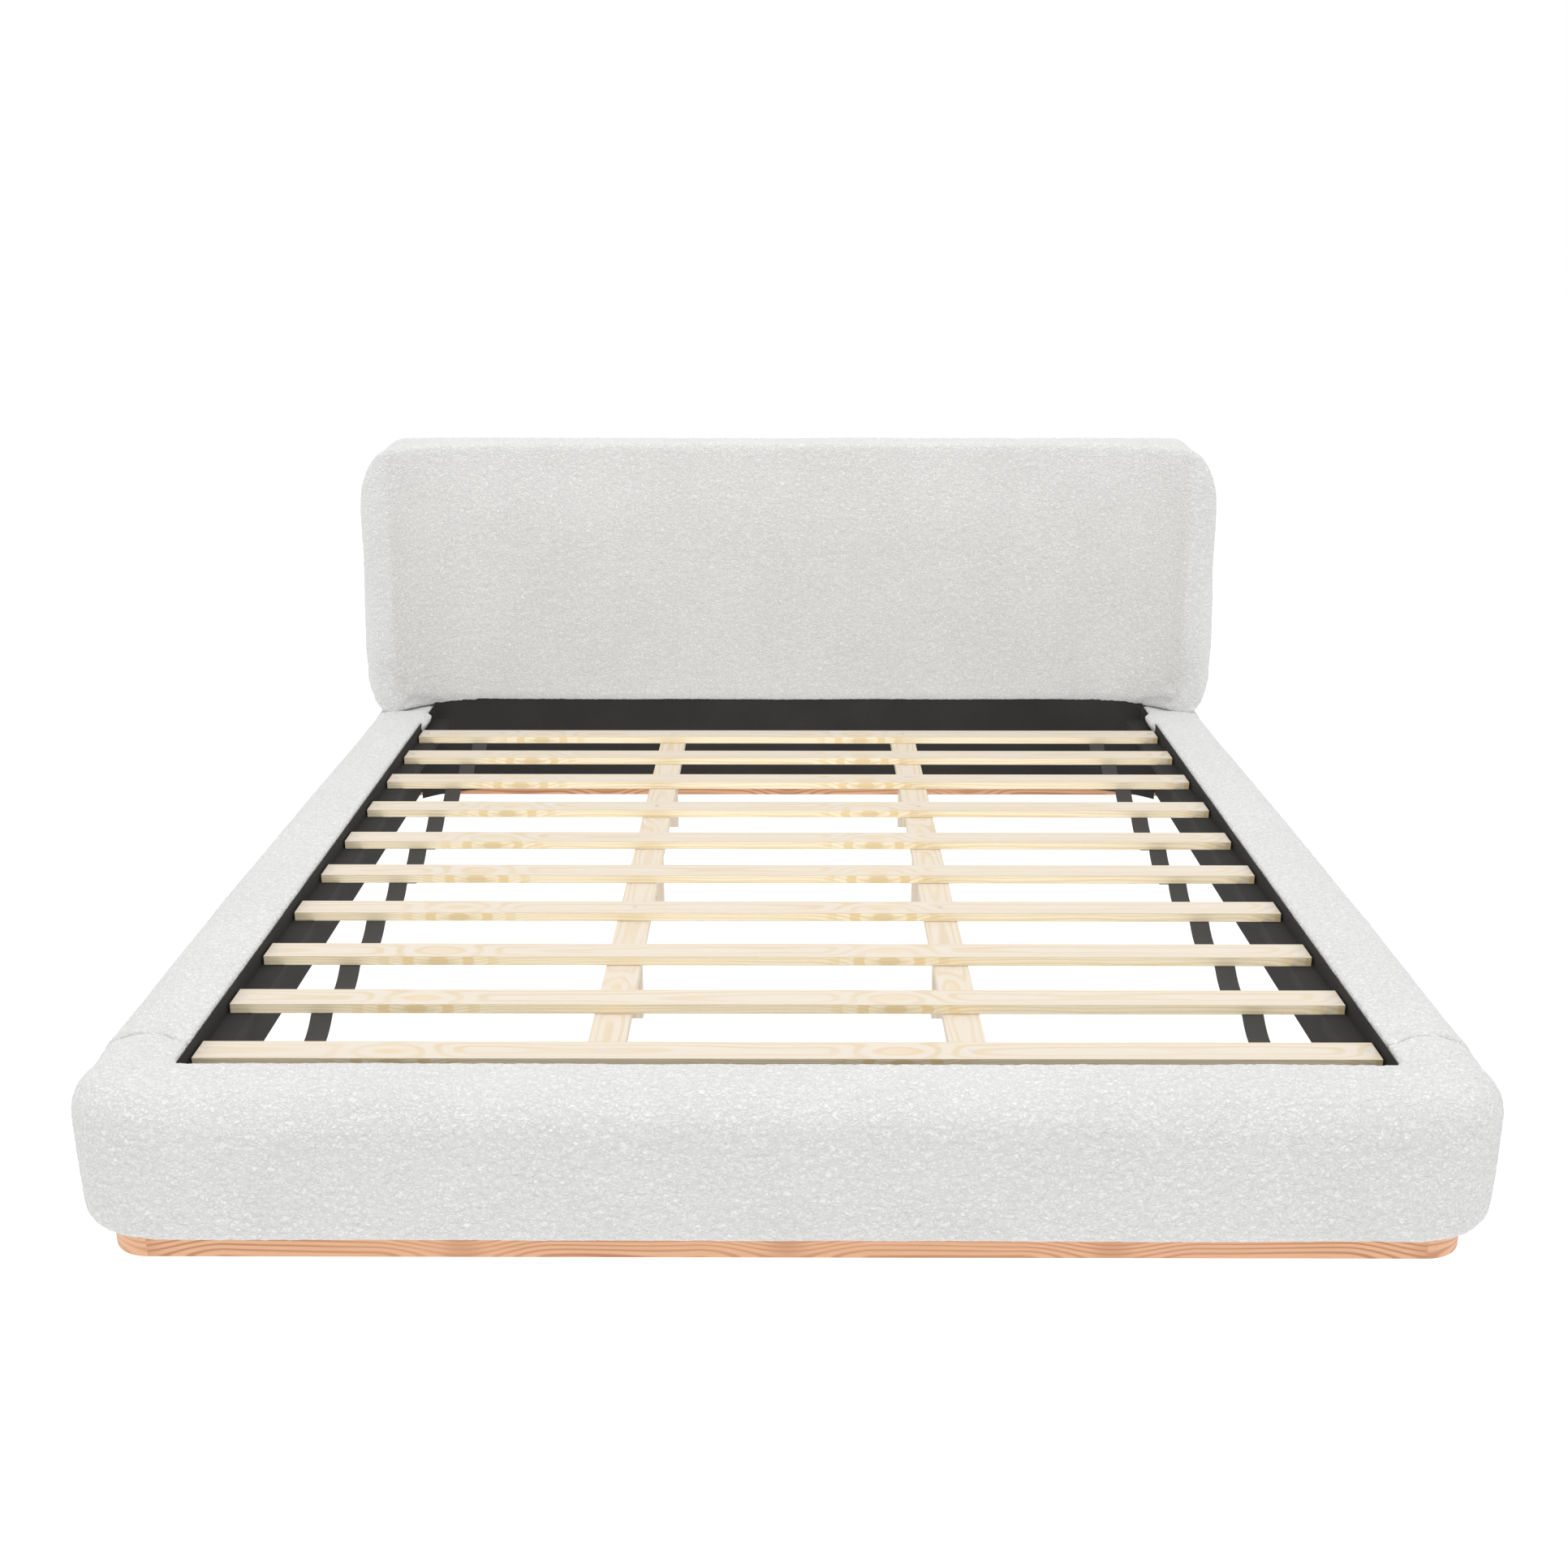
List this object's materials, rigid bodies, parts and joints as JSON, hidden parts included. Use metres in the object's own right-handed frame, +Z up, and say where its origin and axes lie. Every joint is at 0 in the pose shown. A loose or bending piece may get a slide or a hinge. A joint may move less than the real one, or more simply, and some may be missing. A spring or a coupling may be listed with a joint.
{
  "type": "upholstered platform bed",
  "caption": "Low platform bed with a padded headboard whose ends bow forward, padded rails around a slatted mattress well, and a recessed wooden plinth.",
  "frame": {"origin": "middle of the footprint, on the floor", "axes": "+Z up, +Y from the foot to the head, +X to the right seen from the foot"},
  "size_m": [2.286, 2.48, 1.005],
  "materials": {
    "boucle": "off-white looped boucle fabric",
    "foam": "open-cell upholstery foam",
    "lining": "black non-woven lining",
    "webbing": "charcoal woven webbing",
    "slat_pine": "sanded pale pine",
    "plinth_pine": "warm orange pine, satin lacquer",
    "frame_board": "plain laminated board",
    "bracket_steel": "black powder coat",
    "fastener_steel": "bright zinc plate"
  },
  "bodies": {
    "root": {"corner_brackets": "bracket_steel", "deck_screws": "fastener_steel", "foot_batten": "frame_board", "foot_board": "frame_board", "foot_cover": "boucle", "foot_foam": "foam", "foot_foam_left_corner": "foam", "foot_foam_right_corner": "foam", "foot_lining": "lining", "frame_bolts": "fastener_steel", "head_lining": "lining", "head_panel": "frame_board", "headboard_back_lining": "lining", "headboard_core": "frame_board", "headboard_cover": "boucle", "headboard_foam": "foam", "headboard_foam_left_wing": "foam", "headboard_foam_right_wing": "foam", "left_ledge": "frame_board", "left_leg_1": "slat_pine", "left_leg_2": "slat_pine", "left_leg_3": "slat_pine", "left_lining": "lining", "left_rail_board": "frame_board", "left_rail_cover": "boucle", "left_rail_foam": "foam", "left_return_board": "frame_board", "left_tape": "webbing", "left_tie_board": "slat_pine", "left_wing_board": "frame_board", "plinth_back": "plinth_pine", "plinth_back_left_corner": "plinth_pine", "plinth_back_right_corner": "plinth_pine", "plinth_front": "plinth_pine", "plinth_front_left_corner": "plinth_pine", "plinth_front_right_corner": "plinth_pine", "plinth_left": "plinth_pine", "plinth_right": "plinth_pine", "right_ledge": "frame_board", "right_leg_1": "slat_pine", "right_leg_2": "slat_pine", "right_leg_3": "slat_pine", "right_lining": "lining", "right_rail_board": "frame_board", "right_rail_cover": "boucle", "right_rail_foam": "foam", "right_return_board": "frame_board", "right_tape": "webbing", "right_tie_board": "slat_pine", "right_wing_board": "frame_board", "slat_1": "slat_pine", "slat_10": "slat_pine", "slat_2": "slat_pine", "slat_3": "slat_pine", "slat_4": "slat_pine", "slat_5": "slat_pine", "slat_6": "slat_pine", "slat_7": "slat_pine", "slat_8": "slat_pine", "slat_9": "slat_pine"}
  },
  "joints": []
}
